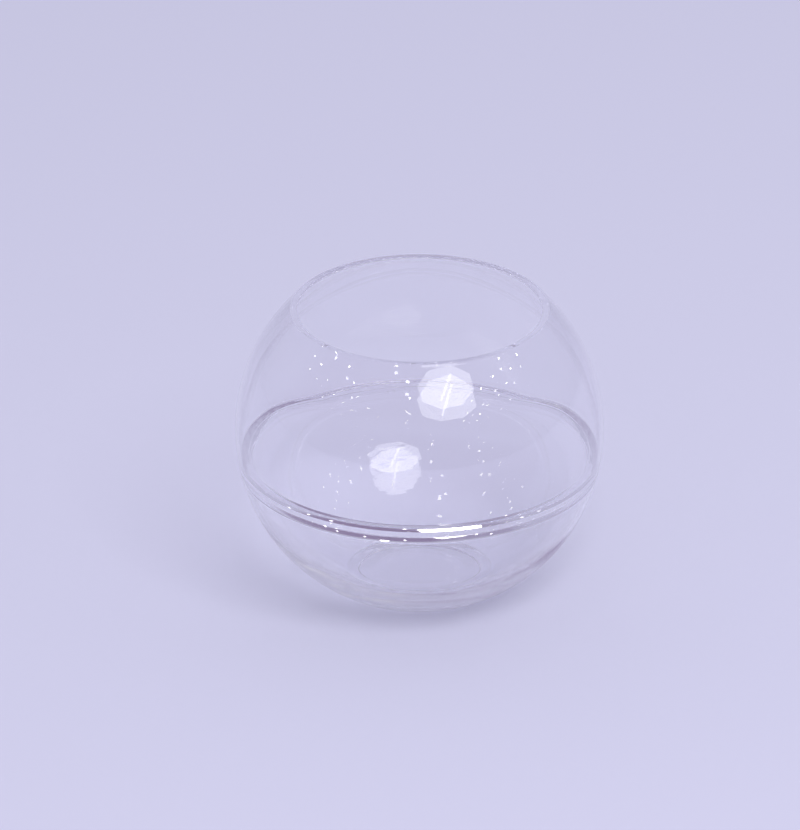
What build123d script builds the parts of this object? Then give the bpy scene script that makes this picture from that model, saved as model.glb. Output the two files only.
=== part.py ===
"""Rose bowl vase: a clear globe moulded in two halves, whose flanges meet just below its widest part.

Millimetres. +Z is up along the axis of revolution, and the origin is the middle of the foot, on the table.
"""
import os
from math import asin, degrees, radians, sqrt, tan

from build123d import *

# The globe, outside: cut flat at the foot and at the mouth
globe_diameter = 100.0
mouth_diameter = 70.0
foot_diameter = 42.0
heel_round = 2.0
rim_round = 0.35

# The upper wall: even round the waist, thicker towards the rim
shell_wall = 1.0
thickening_rise = 20.0
rim_width = 2.5

# The lower wall: thicker towards the heel, with a flat floor
bowl_wall = 1.2
heel_wall = 3.4
floor_thickness = 2.4
floor_round = 6.0

# The foot is a ring round a shallow recess
recess_diameter = 34.0
recess_depth = 0.3

# The joint: each half ends in a flange turned inwards, and the two are cemented face to face. Their lips stand
# flange_reach in from the globe's outside. The upper flange is bevelled above its lip and the lower one slopes to
# the wall below it. Both angles are measured from upright.
joint_drop = 8.7
flange_reach = 4.6
upper_lip = 0.6
upper_bevel = 1.75
upper_bevel_angle = 29.2
lower_lip = 1.25
underside_angle = 67.0
flange_cove = 0.2
seam_round = 0.1

# Heights above the table
globe_radius = globe_diameter / 2
centre_height = sqrt(globe_radius**2 - (foot_diameter / 2) ** 2)
rim_rise = sqrt(globe_radius**2 - (mouth_diameter / 2) ** 2)
rim_height = centre_height + rim_rise
joint_height = centre_height - joint_drop
waist_radius = globe_radius - shell_wall

# The flanges: how wide the bevel is, and how far the underside falls from the lip to the globe's outside
lip_radius = globe_radius - flange_reach
flange_top = joint_height + upper_lip + upper_bevel
lip_bottom = joint_height - lower_lip
bevel_width = upper_bevel * tan(radians(upper_bevel_angle))
underside_fall = flange_reach / tan(radians(underside_angle))

# The lower hollow is a ball that leaves bowl_wall at the joint and heel_wall at the foot, along the globe's radii
joint_reach = globe_radius - bowl_wall
heel_reach = globe_radius - heel_wall
joint_sine = -joint_drop / globe_radius
heel_sine = -centre_height / globe_radius
hollow_rise = (joint_reach**2 - heel_reach**2) / (2 * (joint_reach * joint_sine - heel_reach * heel_sine))
hollow_radius = sqrt(joint_reach**2 - 2 * joint_reach * joint_sine * hollow_rise + hollow_rise**2)

# The lower half: the foot, the floor and the wall up to its flange
with BuildPart() as lower_bowl:
    with BuildSketch(Plane.XZ) as bowl_hollow:
        with Locations((0, centre_height + hollow_rise)):
            Circle(hollow_radius)
        with Locations((0, floor_thickness)):
            Rectangle(
                globe_diameter,
                joint_height - floor_thickness,
                align=(Align.MIN, Align.MIN),
                mode=Mode.INTERSECT,
            )
        Polygon(
            (lip_radius, joint_height),
            (lip_radius, lip_bottom),
            (globe_radius, lip_bottom - underside_fall),
            (globe_radius, joint_height),
            align=None,
            mode=Mode.SUBTRACT,
        )

        floor_corner = bowl_hollow.vertices().group_by(Axis.Y)[0].sort_by(Axis.X)[-1]
        fillet(floor_corner, floor_round)
        cove_corner = bowl_hollow.vertices().sort_by(Axis.X)[-1]
        fillet(cove_corner, flange_cove)

    with BuildSketch(Plane.XZ) as bowl_outline:
        with Locations((0, centre_height)):
            Circle(globe_radius)
        Rectangle(globe_diameter, joint_height, align=(Align.MIN, Align.MIN), mode=Mode.INTERSECT)
        add(bowl_hollow.sketch, mode=Mode.SUBTRACT)
        Rectangle(recess_diameter / 2, recess_depth, align=(Align.MIN, Align.MIN), mode=Mode.SUBTRACT)

        seam_corner = bowl_outline.vertices().group_by(Axis.Y)[-1].sort_by(Axis.X)[-1]
        fillet(seam_corner, seam_round)
        heel_corner = bowl_outline.vertices().group_by(Axis.Y)[0].sort_by(Axis.X)[-1]
        fillet(heel_corner, heel_round)
    revolve(bowl_outline.sketch, axis=Axis.Z)

lower_bowl.part.label = "lower_bowl"

# The upper half: the wall from its flange up to the mouth
with BuildPart() as upper_shell:
    with BuildSketch(Plane.XZ) as shell_hollow:
        with BuildLine():
            waist_foot = degrees(asin(-joint_drop / waist_radius))
            waist_top = degrees(asin(thickening_rise / waist_radius))
            waist = CenterArc((0, centre_height), waist_radius, waist_foot, waist_top - waist_foot)
            neck = TangentArc(waist @ 1, (mouth_diameter / 2 - rim_width, rim_height), tangent=waist % 1)
            Polyline(neck @ 1, (0, rim_height), (0, (waist @ 0).Y), waist @ 0)
        make_face()
        Polygon(
            (lip_radius, joint_height),
            (lip_radius, joint_height + upper_lip),
            (lip_radius + bevel_width, flange_top),
            (globe_radius, flange_top),
            (globe_radius, joint_height),
            align=None,
            mode=Mode.SUBTRACT,
        )

        cove_corner = shell_hollow.vertices().group_by(Axis.Y)[2].sort_by(Axis.X)[-1]
        fillet(cove_corner, flange_cove)

    with BuildSketch(Plane.XZ) as shell_outline:
        with Locations((0, centre_height)):
            Circle(globe_radius)
        with Locations((0, joint_height)):
            Rectangle(
                globe_diameter,
                rim_height - joint_height,
                align=(Align.MIN, Align.MIN),
                mode=Mode.INTERSECT,
            )
        add(shell_hollow.sketch, mode=Mode.SUBTRACT)

        seam_corner = shell_outline.vertices().group_by(Axis.Y)[0].sort_by(Axis.X)[-1]
        fillet(seam_corner, seam_round)
        rim_corners = shell_outline.vertices().group_by(Axis.Y)[-1]
        fillet(rim_corners, rim_round)
    revolve(shell_outline.sketch, axis=Axis.Z)

upper_shell.part.label = "upper_shell"

os.makedirs("parts", exist_ok=True)
for piece in (lower_bowl.part, upper_shell.part):
    export_step(piece, f"parts/{piece.label}.step")
    print(f"{piece.label}: {piece.volume:.0f} mm3, {piece.bounding_box().size}")
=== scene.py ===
# %% [markdown]
# # A rose bowl vase in clear plastic
#
# The vase is a clear globe with a wide mouth, moulded in two halves whose flanges meet just below its
# widest part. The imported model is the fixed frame: everything below is in metres, with the middle of the
# foot at the origin and +Z up. A clear vessel is nearly all refraction, and each flat facet of a coarse
# mesh would bend the light its own way, so both halves are made again here as fine, smooth surfaces of
# revolution.

# %% Load the frame
from math import radians

import bpy
import mathutils
import numpy as np
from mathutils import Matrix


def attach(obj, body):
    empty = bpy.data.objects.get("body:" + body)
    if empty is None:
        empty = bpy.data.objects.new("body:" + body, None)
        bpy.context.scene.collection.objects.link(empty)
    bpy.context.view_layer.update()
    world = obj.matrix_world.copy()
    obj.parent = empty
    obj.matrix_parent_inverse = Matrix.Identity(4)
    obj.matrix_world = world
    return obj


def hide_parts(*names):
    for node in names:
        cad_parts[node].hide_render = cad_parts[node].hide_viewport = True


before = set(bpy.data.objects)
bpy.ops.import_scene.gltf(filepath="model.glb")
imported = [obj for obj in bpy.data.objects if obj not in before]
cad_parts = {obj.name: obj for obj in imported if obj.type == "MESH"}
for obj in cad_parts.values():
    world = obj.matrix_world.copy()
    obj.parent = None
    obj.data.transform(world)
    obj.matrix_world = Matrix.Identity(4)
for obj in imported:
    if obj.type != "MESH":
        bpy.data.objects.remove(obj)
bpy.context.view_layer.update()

# %% [markdown]
# ## Sizes of the globe
#
# A moulded globe is described best by its section in the r-z half plane: r is the distance from the axis
# and z the height above the table. The outside is one true ball, cut flat at the foot and at the mouth, so
# the widths of the two cuts give the height of the ball's centre and of the rim.

# %% The globe outside
MM = 0.001
globe_radius = 50.0 * MM
mouth_radius = 35.0 * MM
foot_radius = 21.0 * MM
heel_round = 2.0 * MM
rim_round = 0.35 * MM

centre_height = np.sqrt(globe_radius**2 - foot_radius**2)
rim_height = centre_height + np.sqrt(globe_radius**2 - mouth_radius**2)
globe_centre = np.array([0.0, centre_height])
print("centre", centre_height, "rim", rim_height)

# %% [markdown]
# ## Sizes of the joint
#
# Each half ends in a flange that is turned inwards, and the two flanges are cemented face to face.
# Together they make a ridge round the inside of the bowl. Its upper bevel and its sloping underside stand
# almost square to each other, so they work as a roof prism: light that enters from the front turns back
# twice inside the ridge and leaves to the front again. That is why the ring shows as two dark lines with
# the lamps in them, instead of being clear like the walls. Both angles are measured from upright.

# %% The joint
joint_drop = 8.7 * MM
flange_reach = 4.6 * MM
upper_lip = 0.6 * MM
upper_bevel = 1.75 * MM
upper_bevel_angle = radians(29.2)
lower_lip = 1.25 * MM
underside_angle = radians(67.0)
flange_cove = 0.2 * MM
seam_round = 0.1 * MM

joint_height = centre_height - joint_drop
lip_radius = globe_radius - flange_reach
lip_top = joint_height + upper_lip
lip_bottom = joint_height - lower_lip
flange_top = lip_top + upper_bevel
print("joint", joint_height, "lip", lip_bottom, lip_top, "flange top", flange_top)

# %% [markdown]
# ## Lines and arcs
#
# Every stretch of the section is a straight line or an arc, so two small functions draw it all. A curve
# object with a Screw modifier could carry the section round too. Arrays of points are used here because
# each tangent point is then exact, and a clear wall shows every kink.

# %% Lines and arcs
UP = np.pi / 2
DOWN = -np.pi / 2
GUARD = 0.02


def arc(mid, radius, start, end, count):
    """Points on a circle: mid + radius * (cos t, sin t), with count values of t, even from start to end."""
    turn = np.linspace(start, end, count)
    return np.stack([mid[0] + radius * np.cos(turn), mid[1] + radius * np.sin(turn)], axis=1)


def straight(start, end):
    """Points on a line: start + t * (end - start), with t at 0 and 1 and a guard point close to each.

    The guard points keep the shading flat between them where a round follows the line."""
    share = np.array([[0.0], [GUARD], [1.0 - GUARD], [1.0]])
    return np.array(start) + share * (np.array(end) - np.array(start))


def join(*stretches):
    """One profile from stretches that meet end to end, with each shared point kept once."""
    return np.concatenate([stretches[0]] + [stretch[1:] for stretch in stretches[1:]])


print("a quarter round", arc((0.0, 0.0), rim_round, 0.0, UP, count=3).tolist())

# %% [markdown]
# ## Where rounds touch
#
# A round that blends a flat face into a curved wall touches both, and its centre follows from that. An arc
# that carries a wall on without a kink has its centre on the line through the last arc's centre and the
# point where it leaves. A Bevel modifier could round the edges, but it would cut the section's own points
# about.

# %% Tangent rounds and arcs


def touching(mid, radius, level, polish, above, inside=True):
    """Centre of a round of radius polish that touches the circle about mid and the line z = level.

    It stands polish above or below the line, and radius - polish (inside) or radius + polish from mid."""
    height = level + polish if above else level - polish
    reach = radius - polish if inside else radius + polish
    return np.array([mid[0] + np.sqrt(reach**2 - (height - mid[1]) ** 2), height])


def facing(turn):
    """The direction (cos, sin) at an angle in the r-z half plane."""
    return np.array([np.cos(turn), np.sin(turn)])


def turn_to(mid, point):
    """The angle, seen from mid, of a point in the r-z half plane."""
    return np.arctan2(point[1] - mid[1], point[0] - mid[0])


def onward(mid, radius, turn, point):
    """Centre and radius of the arc that leaves a circle at a tangent, at the angle turn, and ends at point.

    Its centre lies on the line from mid along turn, as far from the leaving point as from point."""
    reach = np.array(point) - mid
    along = reach @ facing(turn)
    new_radius = (reach @ reach - 2 * radius * along + radius**2) / (2 * (radius - along))
    return mid + (radius - new_radius) * facing(turn), new_radius


heel = touching(globe_centre, globe_radius, 0.0, heel_round, above=True)
print("the heel's round is centred at", heel.tolist())

# %% [markdown]
# ## The lathe
#
# A section carried round the axis gives the wall. The rings are worked out as one grid of points: that
# keeps the poles closed, the normals outward and the count of triangles known. The lower half's section
# starts and ends on the axis. The upper half's section is a closed loop, because that half is a ring with
# a hole through it.

# %% Surface of revolution
SEGMENTS = 640
SHARP_ANGLE = radians(25)


def lathe(name, profile, loop=False):
    """A closed surface of revolution: ring i, step j is (r_i cos a_j, r_i sin a_j, z_i).

    As a loop the last ring meets the first. Otherwise the profile's two ends are poles on the axis."""
    rings = profile if loop else profile[1:-1]
    turn = np.arange(SEGMENTS) * 2 * np.pi / SEGMENTS
    x = rings[:, :1] * np.cos(turn)
    y = rings[:, :1] * np.sin(turn)
    z = np.broadcast_to(rings[:, 1:], x.shape)
    points = np.stack([x, y, z], axis=-1).reshape(-1, 3)

    here = np.arange(len(points)).reshape(len(rings), SEGMENTS)
    beside = np.roll(here, -1, axis=1)
    above = np.roll(here, -1, axis=0)
    above_beside = np.roll(beside, -1, axis=0)
    quads = np.stack([here, beside, above_beside, above], axis=-1)
    faces = (quads if loop else quads[:-1]).reshape(-1, 4).tolist()
    triangles = 2 * len(faces)
    if not loop:
        low = len(points)
        high = low + 1
        points = np.concatenate([points, [[0.0, 0.0, profile[0, 1]], [0.0, 0.0, profile[-1, 1]]]])
        faces += np.stack([np.full(SEGMENTS, low), beside[0], here[0]], axis=-1).tolist()
        faces += np.stack([np.full(SEGMENTS, high), here[-1], beside[-1]], axis=-1).tolist()
        triangles += 2 * SEGMENTS

    mesh = bpy.data.meshes.new(name)
    mesh.from_pydata(points.tolist(), [], faces)
    mesh.polygons.foreach_set("use_smooth", np.ones(len(mesh.polygons), dtype=bool))
    mesh.update()
    mesh.set_sharp_from_angle(angle=SHARP_ANGLE)
    piece = bpy.data.objects.new(name, mesh)
    bpy.context.scene.collection.objects.link(piece)
    print(name, len(points), "vertices", triangles, "triangles")
    return piece


# %% [markdown]
# ## The lower bowl
#
# The lower half is the foot, the floor and the wall up to its flange. The wall is even from the flange
# down to heel_start. From there a tighter arc leaves the inside ball at a tangent, so the wall thickens
# to the heel, which gives the bowl a steady foot. A flat floor ends it in a wide round. Underneath, a
# shallow recess leaves a ring to stand on. Two balls cut from each other could give nearly the same form,
# but a boolean leaves uneven facets, and these would show.

# %% Lower wall
bowl_wall = 1.2 * MM
heel_wall = 4.0 * MM
heel_start = radians(-26)
floor_thickness = 2.4 * MM
floor_round = 6.0 * MM
recess_radius = 17.0 * MM
recess_depth = 0.3 * MM

bowl_radius = globe_radius - bowl_wall
foot_turn = np.arctan2(-centre_height, foot_radius)
heel_inside = globe_centre + (globe_radius - heel_wall) * facing(foot_turn)
hollow_centre, hollow_radius = onward(globe_centre, bowl_radius, heel_start, heel_inside)
floor_edge = touching(hollow_centre, hollow_radius, floor_thickness, floor_round, above=True)
recess_edge = np.array([recess_radius + recess_depth, recess_depth])
lower_seam = touching(globe_centre, globe_radius, joint_height, seam_round, above=False)
print("the heel's inner arc has a radius of", hollow_radius)

# %% [markdown]
# ## The lower flange
#
# The flange's underside runs straight from the lip down to the inside ball, and a small cove softens the
# corner between them, as the edge of a mould does. The cove's centre lies at the same distance from the
# slope all along it, so the length of the slope is where that line meets the ball.

# %% Lower flange
lip_corner = np.array([lip_radius, lip_bottom])
underside = facing(underside_angle - np.pi / 2)
underside_normal = facing(underside_angle - np.pi)
cove_start = lip_corner + flange_cove * underside_normal - globe_centre
along = cove_start @ underside
cove_reach = bowl_radius - flange_cove
underside_length = np.sqrt(along**2 - cove_start @ cove_start + cove_reach**2) - along
underside_end = lip_corner + underside_length * underside
lower_cove = globe_centre + cove_start + underside_length * underside
print("the underside is", underside_length, "long")

# %% [markdown]
# ## The lower bowl's section
#
# The section starts on the axis under the foot, goes out and up the outside to the joint, in along the
# flat face of the flange, and down the inside to the middle of the floor.

# %% Lower bowl
heel_turn = turn_to(globe_centre, heel)
lower_seam_turn = turn_to(globe_centre, lower_seam)
slope_turn = turn_to((0, 0), -underside_normal)
lower_cove_turn = turn_to(globe_centre, lower_cove)
floor_turn = turn_to(hollow_centre, floor_edge)

lower_section = join(
    straight((0.0, recess_depth), (recess_radius, recess_depth)),
    arc(recess_edge, recess_depth, -np.pi, DOWN, count=6),
    straight((recess_edge[0], 0.0), (heel[0], 0.0)),
    arc(heel, heel_round, DOWN, heel_turn, count=8),
    arc(globe_centre, globe_radius, heel_turn, lower_seam_turn, count=44),
    arc(lower_seam, seam_round, lower_seam_turn, UP, count=5),
    straight((lower_seam[0], joint_height), (lip_radius, joint_height)),
    straight((lip_radius, joint_height), lip_corner),
    straight(lip_corner, underside_end),
    arc(lower_cove, flange_cove, slope_turn, lower_cove_turn, count=6),
    arc(globe_centre, bowl_radius, lower_cove_turn, heel_start, count=18),
    arc(hollow_centre, hollow_radius, heel_start, floor_turn, count=40),
    arc(floor_edge, floor_round, floor_turn, DOWN, count=12),
    straight((floor_edge[0], floor_thickness), (0.0, floor_thickness)),
)
lower_bowl = lathe("moulded_lower_bowl", lower_section)
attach(lower_bowl, "root")
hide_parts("lower_bowl")

# %% [markdown]
# ## The upper shell
#
# The upper half is thin at the waist and thickens towards the rim. Its inside is a ball concentric with
# the outside up to well above the widest part. From there a tighter arc bends inwards, and a flatter one
# runs on to the rim's inner corner. The two faces of the wall are then not parallel, and that is why each
# reflection of the key light shows doubled. A Solidify modifier gives an even wall, so it is no use here.

# %% Upper wall
shell_wall = 0.9 * MM
thickening_rise = 16.8 * MM
neck_bend = radians(13.2)
neck_bend_radius = 37.0 * MM
rim_width = 2.5 * MM

waist_radius = globe_radius - shell_wall
neck_start = np.arcsin(thickening_rise / waist_radius)
neck_end = neck_start + neck_bend
bend_centre = globe_centre + (waist_radius - neck_bend_radius) * facing(neck_start)
rim_inside = np.array([mouth_radius - rim_width, rim_height])
neck_centre, neck_radius = onward(bend_centre, neck_bend_radius, neck_end, rim_inside)
print("the neck's inner arc has a radius of", neck_radius)

# %% [markdown]
# ## The upper shell's section
#
# The section starts at the lip, goes out along the flat face of the flange and up the outside to the rim,
# which is flat with both corners rounded over. Then it goes down the inside to the flange's ledge and its
# bevel, and back to the lip.

# %% Upper shell
upper_seam = touching(globe_centre, globe_radius, joint_height, seam_round, above=True)
outer_rim = touching(globe_centre, globe_radius, rim_height, rim_round, above=False)
inner_rim = touching(neck_centre, neck_radius, rim_height, rim_round, above=False, inside=False)
upper_cove = touching(globe_centre, waist_radius, flange_top, flange_cove, above=True)
bevel_top = np.array([lip_radius + upper_bevel * np.tan(upper_bevel_angle), flange_top])

upper_seam_turn = turn_to(globe_centre, upper_seam)
outer_rim_turn = turn_to(globe_centre, outer_rim)
inner_rim_turn = turn_to(neck_centre, inner_rim)
upper_cove_turn = turn_to(globe_centre, upper_cove)

upper_section = join(
    straight((lip_radius, joint_height), (upper_seam[0], joint_height)),
    arc(upper_seam, seam_round, DOWN, upper_seam_turn, count=5),
    arc(globe_centre, globe_radius, upper_seam_turn, outer_rim_turn, count=50),
    arc(outer_rim, rim_round, outer_rim_turn, UP, count=7),
    straight((outer_rim[0], rim_height), (inner_rim[0], rim_height)),
    arc(inner_rim, rim_round, UP, np.pi + inner_rim_turn, count=9),
    arc(neck_centre, neck_radius, inner_rim_turn, neck_end, count=22),
    arc(bend_centre, neck_bend_radius, neck_end, neck_start, count=14),
    arc(globe_centre, waist_radius, neck_start, upper_cove_turn, count=30),
    arc(upper_cove, flange_cove, upper_cove_turn, DOWN, count=6),
    straight((upper_cove[0], flange_top), bevel_top),
    straight(bevel_top, (lip_radius, lip_top)),
    straight((lip_radius, lip_top), (lip_radius, joint_height)),
)[:-1]
upper_shell = lathe("moulded_upper_shell", upper_section, loop=True)
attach(upper_shell, "root")
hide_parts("upper_shell")
print("the rim's flat is", outer_rim[0] - inner_rim[0], "wide")

# %% [markdown]
# ## Nodes by name
#
# A material is a tree of nodes. Each one is made, set and linked, so a small function that makes and sets
# a node in one go keeps the finishes below short enough to read.

# %% Node helpers


def add_node(tree, kind, inputs=None, **settings):
    """A new node of a kind in a tree, with its settings by name and the values of its input sockets."""
    node = tree.nodes.new(kind)
    for setting, value in settings.items():
        setattr(node, setting, value)
    for socket, value in (inputs or {}).items():
        node.inputs[socket].default_value = value
    return node


def principled(name):
    """A new material and its Principled shader."""
    material = bpy.data.materials.new(name)
    material.use_nodes = True
    return material, material.node_tree.nodes["Principled BSDF"]


# %% [markdown]
# ## Marks of the moulding
#
# Polished plastic is never perfect. The mould of the heel was turned, and faint rings from the tool run
# round it. Fine scratches gather with use, and the colour is a little uneven where the plastic cooled in
# its own time. One node group makes all three as plain values, so that both halves share it and only
# their shaders differ. A painted picture could hold them too, but a pattern on object coordinates needs
# no unwrapping and stays sharp at any size.

# %% Moulding marks
RING_SCALE = 260.0
RINGS_END = 28.0 * MM
RINGS_FULL = 14.0 * MM
TINT_SCALE = 55.0
COOL_TINT = (0.985, 0.985, 0.995, 1)
CLEAR_TINT = (0.997, 0.994, 1.0, 1)
SCRATCH_SCALE = 900.0
SCRATCH_START = 0.62
SCRATCH_FULL = 0.80
SCRATCH_ROUGHNESS = 0.05


def moulding_marks():
    """A node group with the outputs Height, Roughness and Tint, from object coordinates in metres."""
    group = bpy.data.node_groups.new("moulding_marks", "ShaderNodeTree")
    group.interface.new_socket("Height", in_out="OUTPUT", socket_type="NodeSocketFloat")
    group.interface.new_socket("Roughness", in_out="OUTPUT", socket_type="NodeSocketFloat")
    group.interface.new_socket("Tint", in_out="OUTPUT", socket_type="NodeSocketColor")
    links = group.links
    output = add_node(group, "NodeGroupOutput")
    place = add_node(group, "ShaderNodeTexCoord").outputs["Object"]

    ring_inputs = {"Scale": RING_SCALE, "Distortion": 1.2, "Detail Scale": 0.4}
    rings = add_node(group, "ShaderNodeTexWave", ring_inputs, wave_type="BANDS", bands_direction="Z")
    links.new(place, rings.inputs["Vector"])
    split = add_node(group, "ShaderNodeSeparateXYZ")
    links.new(place, split.inputs["Vector"])
    heel_inputs = {"From Min": RINGS_END, "From Max": RINGS_FULL}
    at_heel = add_node(group, "ShaderNodeMapRange", heel_inputs, interpolation_type="SMOOTHSTEP")
    links.new(split.outputs["Z"], at_heel.inputs["Value"])
    tooled = add_node(group, "ShaderNodeMath", operation="MULTIPLY")
    links.new(rings.outputs["Fac"], tooled.inputs[0])
    links.new(at_heel.outputs["Result"], tooled.inputs[1])
    links.new(tooled.outputs["Value"], output.inputs["Height"])

    scratches = add_node(group, "ShaderNodeTexNoise", {"Scale": SCRATCH_SCALE, "Detail": 3.0})
    links.new(place, scratches.inputs["Vector"])
    worn_inputs = {"From Min": SCRATCH_START, "From Max": SCRATCH_FULL, "To Max": SCRATCH_ROUGHNESS}
    worn = add_node(group, "ShaderNodeMapRange", worn_inputs)
    links.new(scratches.outputs["Fac"], worn.inputs["Value"])
    links.new(worn.outputs["Result"], output.inputs["Roughness"])

    cooling = add_node(group, "ShaderNodeTexNoise", {"Scale": TINT_SCALE, "Detail": 1.0})
    links.new(place, cooling.inputs["Vector"])
    tint = add_node(group, "ShaderNodeMix", {"A": COOL_TINT, "B": CLEAR_TINT}, data_type="RGBA")
    links.new(cooling.outputs["Fac"], tint.inputs["Factor"])
    links.new(tint.outputs["Result"], output.inputs["Tint"])
    return group


marks = moulding_marks()
print("marks", [item.name for item in marks.interface.items_tree])

# %% [markdown]
# ## The clear plastic
#
# The plastic is a solid that light enters and leaves by bending, so it is full transmission with the
# refraction of styrene and acrylic. Light that only passes through on its way to the floor takes a tint
# instead: tracing it through four curved faces would need very many samples. The tint is light where the
# wall faces the lamp and dark where it stands edge on, because a real wall turns the light aside there.

# %% Clear plastic
REFRACTION = 1.53
MARK_DEPTH = 0.003 * MM
SHADE = (0.98, 0.98, 0.985, 1)
LIMB_SHADE = (0.50, 0.49, 0.53, 1)
LIMB_START = 0.35


def clear_plastic(name):
    """Clear moulded plastic with the shared marks in its colour, roughness and relief."""
    material, shader = principled(name)
    shader.inputs["IOR"].default_value = REFRACTION
    shader.inputs["Transmission Weight"].default_value = 1.0
    tree = material.node_tree
    links = tree.links
    surface = add_node(tree, "ShaderNodeGroup", node_tree=marks)
    links.new(surface.outputs["Tint"], shader.inputs["Base Color"])
    links.new(surface.outputs["Roughness"], shader.inputs["Roughness"])
    relief = add_node(tree, "ShaderNodeBump", {"Strength": 1.0, "Distance": MARK_DEPTH})
    links.new(surface.outputs["Height"], relief.inputs["Height"])
    links.new(relief.outputs["Normal"], shader.inputs["Normal"])

    glance = add_node(tree, "ShaderNodeLayerWeight")
    limb_inputs = {"From Min": LIMB_START}
    edge_on = add_node(tree, "ShaderNodeMapRange", limb_inputs, interpolation_type="SMOOTHSTEP")
    links.new(glance.outputs["Facing"], edge_on.inputs["Value"])
    shade = add_node(tree, "ShaderNodeMix", {"A": SHADE, "B": LIMB_SHADE}, data_type="RGBA")
    links.new(edge_on.outputs["Result"], shade.inputs["Factor"])
    passing = add_node(tree, "ShaderNodeBsdfTransparent")
    links.new(shade.outputs["Result"], passing.inputs["Color"])

    path = add_node(tree, "ShaderNodeLightPath")
    either = add_node(tree, "ShaderNodeMixShader")
    links.new(path.outputs["Is Shadow Ray"], either.inputs["Fac"])
    links.new(shader.outputs["BSDF"], either.inputs[1])
    links.new(passing.outputs["BSDF"], either.inputs[2])
    links.new(either.outputs["Shader"], tree.nodes["Material Output"].inputs["Surface"])
    print(name, len(tree.nodes), "nodes")
    return material


# %% [markdown]
# ## The cement
#
# The cement melts the two flanges into each other, so light crosses the joint as if it were one piece of
# plastic. What can still be seen of it is a scatter of tiny bubbles in the flat film between them. The
# film is a second material on the two faces that touch: clear all over, and milky where a bubble is.

# %% Cement film
CEMENT_COLOUR = (0.75, 0.74, 0.82, 1)
BUBBLE_SCALE = 700.0
BUBBLE_EDGE = 0.16
BUBBLE_CORE = 0.10
BUBBLE_ALPHA = 0.25


def cement_film():
    """Clear film with bubbles: alpha is 0 but for the middles of the texture's cells."""
    material, shader = principled("cement_film")
    shader.inputs["Base Color"].default_value = CEMENT_COLOUR
    tree = material.node_tree
    place = add_node(tree, "ShaderNodeTexCoord")
    cells = add_node(tree, "ShaderNodeTexVoronoi", {"Scale": BUBBLE_SCALE})
    tree.links.new(place.outputs["Object"], cells.inputs["Vector"])
    bubble_inputs = {"From Min": BUBBLE_EDGE, "From Max": BUBBLE_CORE, "To Max": BUBBLE_ALPHA}
    bubbles = add_node(tree, "ShaderNodeMapRange", bubble_inputs)
    tree.links.new(cells.outputs["Distance"], bubbles.inputs["Value"])
    tree.links.new(bubbles.outputs["Result"], shader.inputs["Alpha"])
    return material


cement = cement_film()
print(cement.name, "with", BUBBLE_SCALE, "bubbles to the metre")

# %% [markdown]
# ## Plastic and cement on each half
#
# Every face is plastic but for the flat ring where the halves meet. Its faces are found by their place and
# direction rather than by their number, so the section can change without this step knowing.

# %% Finish both halves
JOINT_TOLERANCE = 0.001 * MM
LEVEL = 0.999


def finish_half(piece, plastic):
    """The plastic on every face, and the cement film on the flat face that meets the other half."""
    mesh = piece.data
    mesh.materials.append(plastic)
    mesh.materials.append(cement)
    middles = np.empty(len(mesh.polygons) * 3)
    mesh.polygons.foreach_get("center", middles)
    normals = np.empty(len(mesh.polygons) * 3)
    mesh.polygons.foreach_get("normal", normals)
    at_joint = np.abs(middles[2::3] - joint_height) < JOINT_TOLERANCE
    level = np.abs(normals[2::3]) > LEVEL
    mesh.polygons.foreach_set("material_index", (at_joint & level).astype(np.int32))
    print(piece.name, int((at_joint & level).sum()), "cemented faces")


finish_half(lower_bowl, clear_plastic("lower_plastic"))
finish_half(upper_shell, clear_plastic("upper_plastic"))

# %% [markdown]
# ## The camera's view
#
# The photograph looks down at the bowl from a long way off, so a long lens keeps its perspective flat. The
# globe's silhouette is a circle in it: its centre and radius in pixels place the camera, and the flatness
# of the mouth's ellipse gives the elevation.

# %% Camera
scene = bpy.context.scene
PICTURE = np.array([800, 830])
SENSOR = 36.0
globe_pixels = 184.5
globe_pixel = np.array([419.5, 428.0])
elevation = radians(25.7)
distance = 60 * globe_radius

towards = np.array([0.0, -np.cos(elevation), np.sin(elevation)])
right = np.array([1.0, 0.0, 0.0])
upward = np.cross(towards, right)
offset = (globe_pixel - PICTURE / 2) * globe_radius / globe_pixels
middle = np.array([0.0, 0.0, centre_height])
aim = middle - right * offset[0] + upward * offset[1]

camera_data = bpy.data.cameras.new("camera")
camera_data.sensor_width = SENSOR
camera_data.lens = globe_pixels * np.sqrt((distance / globe_radius) ** 2 - 1) * SENSOR / PICTURE[1]
camera_data.clip_end = 100
camera = bpy.data.objects.new("camera", camera_data)
scene.collection.objects.link(camera)
rotation = mathutils.Matrix((right, upward, towards)).transposed()
camera.matrix_world = mathutils.Matrix.Translation(aim + towards * distance) @ rotation.to_4x4()
scene.camera = camera
print("lens", camera_data.lens)

# %% [markdown]
# ## The floor
#
# A plain pale floor takes the light and the soft shadow. It lies a hair below the foot: two surfaces in one
# plane would leave the light nowhere to go between them.

# %% Floor
FLOOR_REACH = 4.0
FLOOR_DROP = 0.02 * MM
FLOOR_COLOUR = (0.685, 0.675, 0.885, 1)
floor_square = np.array([[-1, -1, 0], [1, -1, 0], [1, 1, 0], [-1, 1, 0]])
floor_corners = floor_square * FLOOR_REACH - [0, 0, FLOOR_DROP]
floor_mesh = bpy.data.meshes.new("floor")
floor_mesh.from_pydata(floor_corners.tolist(), [], [(0, 1, 2, 3)])
floor = bpy.data.objects.new("floor", floor_mesh)
scene.collection.objects.link(floor)
floor_material, floor_shader = principled("pale_floor")
floor_shader.inputs["Base Color"].default_value = FLOOR_COLOUR
floor_shader.inputs["Roughness"].default_value = 0.9
floor_shader.inputs["Specular IOR Level"].default_value = 0.0
floor_mesh.materials.append(floor_material)
print("floor", 2 * FLOOR_REACH, "m wide")

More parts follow.
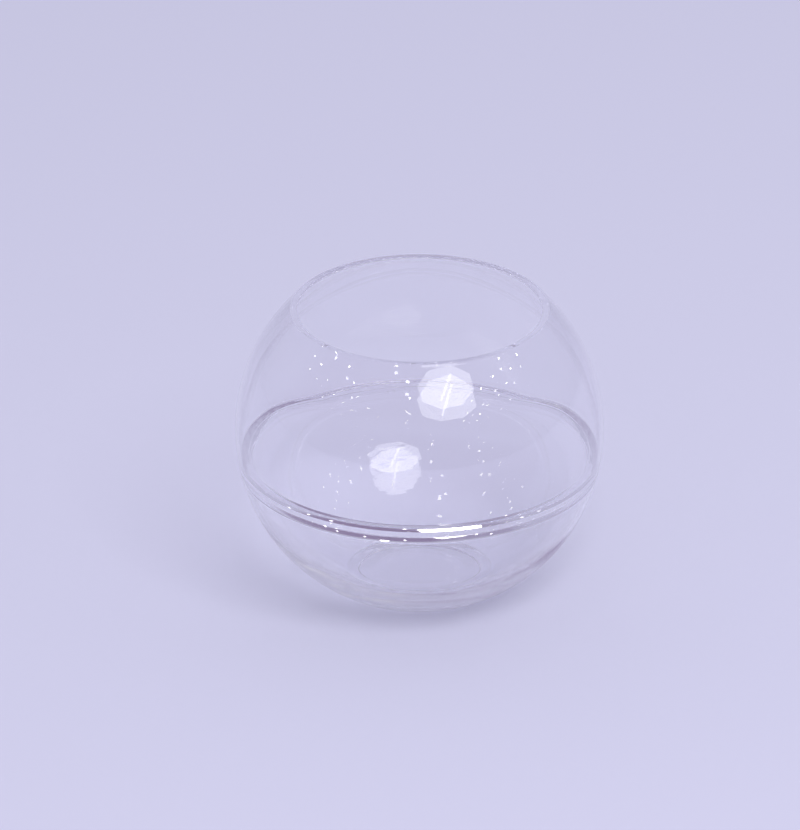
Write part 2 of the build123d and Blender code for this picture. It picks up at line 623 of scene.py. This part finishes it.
# %% [markdown]
# ## Cards that glow
#
# What shines in the plastic is made of flat cards that only give light. Light can be guided for dozens of
# turns inside a wall before it comes to a card. A real wall dims such light, and here it would only make
# noise, so the cards shine weakly for it. A path by way of the floor keeps the full strength, however
# long it is: each bounce off the floor takes FLOOR_PATH off its length.

# %% Glowing material
SHORT_PATH = 8.5
FLOOR_PATH = 200.0
GUIDED_GLOW = 0.8


def glowing(name, strength):
    """A material that only gives light: at full strength to short paths, and dimmed to guided ones."""
    material = bpy.data.materials.new(name)
    material.use_nodes = True
    tree = material.node_tree
    tree.nodes.clear()
    links = tree.links
    output = add_node(tree, "ShaderNodeOutputMaterial")
    emission = add_node(tree, "ShaderNodeEmission")
    path = add_node(tree, "ShaderNodeLightPath")
    length = add_node(tree, "ShaderNodeMath", {1: -FLOOR_PATH}, operation="MULTIPLY_ADD")
    guided = add_node(tree, "ShaderNodeMath", {1: SHORT_PATH}, operation="GREATER_THAN")
    level = add_node(tree, "ShaderNodeMapRange", {"To Min": strength, "To Max": GUIDED_GLOW})
    links.new(path.outputs["Diffuse Depth"], length.inputs[0])
    links.new(path.outputs["Ray Depth"], length.inputs[2])
    links.new(length.outputs["Value"], guided.inputs[0])
    links.new(guided.outputs["Value"], level.inputs["Value"])
    links.new(level.outputs["Result"], emission.inputs["Strength"])
    links.new(emission.outputs["Emission"], output.inputs["Surface"])
    print(name, "glows at", strength)
    return material


# %% [markdown]
# ## The softbox
#
# The key light is an eight-sided softbox to the front right. It shows four times in the bowl, in the outer
# and inner surface of the near wall and of the far wall, and once more as the bright stretch of the ring.
# This card is only what is seen of it. It neither lights the floor nor throws a shadow.

# %% Softbox
key_distance = 0.9
key_radius = 0.285
key_squeeze = 0.75
key_glow = 4.0
key_direction = np.array([0.267, -0.601, 0.753])
key_direction /= np.linalg.norm(key_direction)
key_side = np.cross([0.0, 0.0, 1.0], key_direction)
key_side /= np.linalg.norm(key_side)
key_up = np.cross(key_direction, key_side)
key_turn = mathutils.Matrix((key_side, key_up, key_direction)).transposed().to_4x4()


def light_card(name, outline, glow, distance):
    """A flat glowing card in the softbox's own plane, given by its corners (side, up)."""
    corners = np.column_stack([outline, np.zeros(len(outline))])
    mesh = bpy.data.meshes.new(name)
    mesh.from_pydata(corners.tolist(), [], [tuple(range(len(outline)))])
    mesh.materials.append(glowing(name + "_glow", glow))
    card = bpy.data.objects.new(name, mesh)
    scene.collection.objects.link(card)
    card.matrix_world = mathutils.Matrix.Translation(middle + key_direction * distance) @ key_turn
    card.visible_diffuse = False
    card.visible_shadow = False


eighths = (np.arange(8) + 0.5) * np.pi / 4
octagon = key_radius * np.stack([np.cos(eighths), key_squeeze * np.sin(eighths)], axis=1)
light_card("softbox", octagon, key_glow, key_distance)

# %% [markdown]
# ## The key lamp
#
# The light on the floor comes from an area lamp of the softbox's outline and direction, so the shadow's
# soft edge is right. It stands further off than the card, because a near lamp would light the floor
# unevenly and clip its near side. It isn't seen in the plastic, where the card already is.

# %% Key lamp
key_lamp_distance = 3.0
key_power = 50.5
key_data = bpy.data.lights.new("key_light", "AREA")
key_data.shape = "ELLIPSE"
key_data.size = 2 * key_radius * key_lamp_distance / key_distance
key_data.size_y = key_data.size * key_squeeze
key_data.energy = key_power
key_light = bpy.data.objects.new("key_light", key_data)
scene.collection.objects.link(key_light)
key_place = middle + key_direction * key_lamp_distance
key_light.matrix_world = mathutils.Matrix.Translation(key_place) @ key_turn
key_light.visible_camera = False
key_light.visible_glossy = False
key_light.visible_transmission = False
print("key lamp", key_data.size, "m wide")

# %% [markdown]
# ## The rod in the softbox
#
# The lamp in the softbox shows through its front as a brighter streak that leans. A second card just in
# front of the first gives it: a texture on the first could too, but a card keeps the streak's edges clean.

# %% Rod
rod_lean = radians(55)
rod_half_length = 0.5 * key_radius
rod_half_width = 0.035 * key_radius
rod_glow = 9.0
rod_gap = 0.01
rod_along = rod_half_length * np.array([np.cos(rod_lean), np.sin(rod_lean)])
rod_across = rod_half_width * np.array([-np.sin(rod_lean), np.cos(rod_lean)])
rod_side = np.array([rod_along + rod_across, -rod_along + rod_across])
rod_corners = np.concatenate([rod_side, -rod_side])
light_card("softbox_rod", rod_corners, rod_glow, key_distance - rod_gap)

# %% [markdown]
# ## The ceiling lamps
#
# Rows of small lamps make the sparkle: each shows as a point in all four surfaces and as a bead in the
# ring. They hang a little out of line, by two slow waves, because a strict grid would look drawn. All are
# discs in one mesh, which is lighter than many lamps, and they don't light the floor.

# %% Ceiling lamps
ceiling = 1.2
lamp_rows = np.array([-1.5, -0.95, -0.2, 0.95, 1.35])
lamp_places = np.linspace(-1.6, 0.3, 7)
lamp_radius = 0.026
lamp_glow = 25.0
lamp_sides = 12
row_sway = 0.07
row_wave = 5.0
row_slant = 3.0
place_sway = 0.12
place_wave = 4.0

row, place = np.meshgrid(lamp_rows, lamp_places, indexing="ij")
row = row + row_sway * np.sin(row_wave * place + row_slant * row)
place = place + place_sway * np.sin(place_wave * row)
lamp_grid = np.stack([row.ravel(), place.ravel(), np.ones(row.size)], axis=1)
lamp_middles = lamp_grid * ceiling + middle
lamp_turn = -np.arange(lamp_sides) * 2 * np.pi / lamp_sides
lamp_ring = lamp_radius * np.stack([np.cos(lamp_turn), np.sin(lamp_turn), np.zeros(lamp_sides)], axis=1)
lamp_points = (lamp_middles[:, None] + lamp_ring[None]).reshape(-1, 3)
lamp_faces = np.arange(len(lamp_points)).reshape(-1, lamp_sides)
lamp_mesh = bpy.data.meshes.new("ceiling_lamps")
lamp_mesh.from_pydata(lamp_points.tolist(), [], lamp_faces.tolist())
lamp_mesh.materials.append(glowing("lamp_glow", lamp_glow))
ceiling_lamps = bpy.data.objects.new("ceiling_lamps", lamp_mesh)
scene.collection.objects.link(ceiling_lamps)
ceiling_lamps.visible_diffuse = False
print("lamps", len(lamp_middles))

# %% [markdown]
# ## Soft edges in the room
#
# The room is pale all round, as a lined studio is, and darker above eye level in front, most of all on the
# left. Plastic needs both: the pale walls keep its edges light, and the dark part draws the lines of the
# ring. Soft edges cut the dark part out. A picture of a studio could light the scene instead, but plain
# edges can be moved until each line of the ring is where it belongs.

# %% Room edges
world = bpy.data.worlds.new("room")
scene.world = world
world.use_nodes = True
world.cycles.sampling_method = "NONE"
room_tree = world.node_tree
sight = add_node(room_tree, "ShaderNodeTexCoord")


def pointing(azimuth, elevation):
    """The direction at an azimuth, 0 to the camera and positive to the right, and an elevation, both in
    degrees."""
    turn = radians(azimuth)
    rise = radians(elevation)
    return np.array([np.sin(turn) * np.cos(rise), -np.cos(turn) * np.cos(rise), np.sin(rise)])


def soft_edge(direction, start, end):
    """A soft edge across the room: 0 up to start and 1 from end, of the sight's cosine with a direction."""
    cosine = add_node(room_tree, "ShaderNodeVectorMath", {1: direction}, operation="DOT_PRODUCT")
    room_tree.links.new(sight.outputs["Generated"], cosine.inputs[0])
    edge_inputs = {"From Min": start, "From Max": end}
    edge = add_node(room_tree, "ShaderNodeMapRange", edge_inputs, interpolation_type="SMOOTHSTEP")
    room_tree.links.new(cosine.outputs["Value"], edge.inputs["Value"])
    return edge.outputs["Result"]


def both(first, second):
    """Two soft edges together: their product."""
    product = add_node(room_tree, "ShaderNodeMath", operation="MULTIPLY")
    room_tree.links.new(first, product.inputs[0])
    room_tree.links.new(second, product.inputs[1])
    return product.outputs["Value"]


above_table = soft_edge(pointing(azimuth=163.6, elevation=62.0), start=-0.05, end=0.10)
in_front = soft_edge(pointing(azimuth=-15.0, elevation=0.0), start=-0.10, end=0.25)
left_of_key = soft_edge(pointing(azimuth=-78.0, elevation=0.0), start=-0.16, end=0.12)
print("room edges", len(room_tree.nodes), "nodes")

# %% [markdown]
# ## The room's light
#
# To the right of the key light the dark part keeps RIGHT_SHARE of its strength. The floor doesn't see the
# dark part at all: light that has met the floor takes an even fill instead, so the shadow stays soft and
# the floor's colour doesn't drift.

# %% Room light
PALE_ROOM = (0.45, 0.44, 0.60, 1)
DARK_ROOM = (0.22, 0.16, 0.29, 1)
RIGHT_SHARE = 0.6
FILL = (0.53, 0.53, 0.55, 1)

side_share = add_node(room_tree, "ShaderNodeMapRange", {"To Min": RIGHT_SHARE})
room_tree.links.new(left_of_key, side_share.inputs["Value"])
darkness = both(both(above_table, in_front), side_share.outputs["Result"])
room = add_node(room_tree, "ShaderNodeMix", {"A": PALE_ROOM, "B": DARK_ROOM}, data_type="RGBA")
room_tree.links.new(darkness, room.inputs["Factor"])
path = add_node(room_tree, "ShaderNodeLightPath")
light = add_node(room_tree, "ShaderNodeMix", {"B": FILL}, data_type="RGBA")
room_tree.links.new(path.outputs["Diffuse Depth"], light.inputs["Factor"])
room_tree.links.new(room.outputs["Result"], light.inputs["A"])
room_tree.links.new(light.outputs["Result"], room_tree.nodes["Background"].inputs["Color"])
print("room", PALE_ROOM, "to", DARK_ROOM, "fill", FILL)

# %% [markdown]
# ## Colour and light paths
#
# The Standard view shows colours as they are written. Light is guided inside a clear wall for dozens of
# reflections before it finds a way out, and a path that is cut short goes black, so the bounces are set
# very high.

# %% View and bounces
BOUNCES = 128
scene.view_settings.view_transform = "Standard"
scene.cycles.max_bounces = BOUNCES
scene.cycles.transmission_bounces = BOUNCES
scene.cycles.glossy_bounces = BOUNCES
scene.cycles.transparent_max_bounces = BOUNCES
print("bounces", scene.cycles.max_bounces)
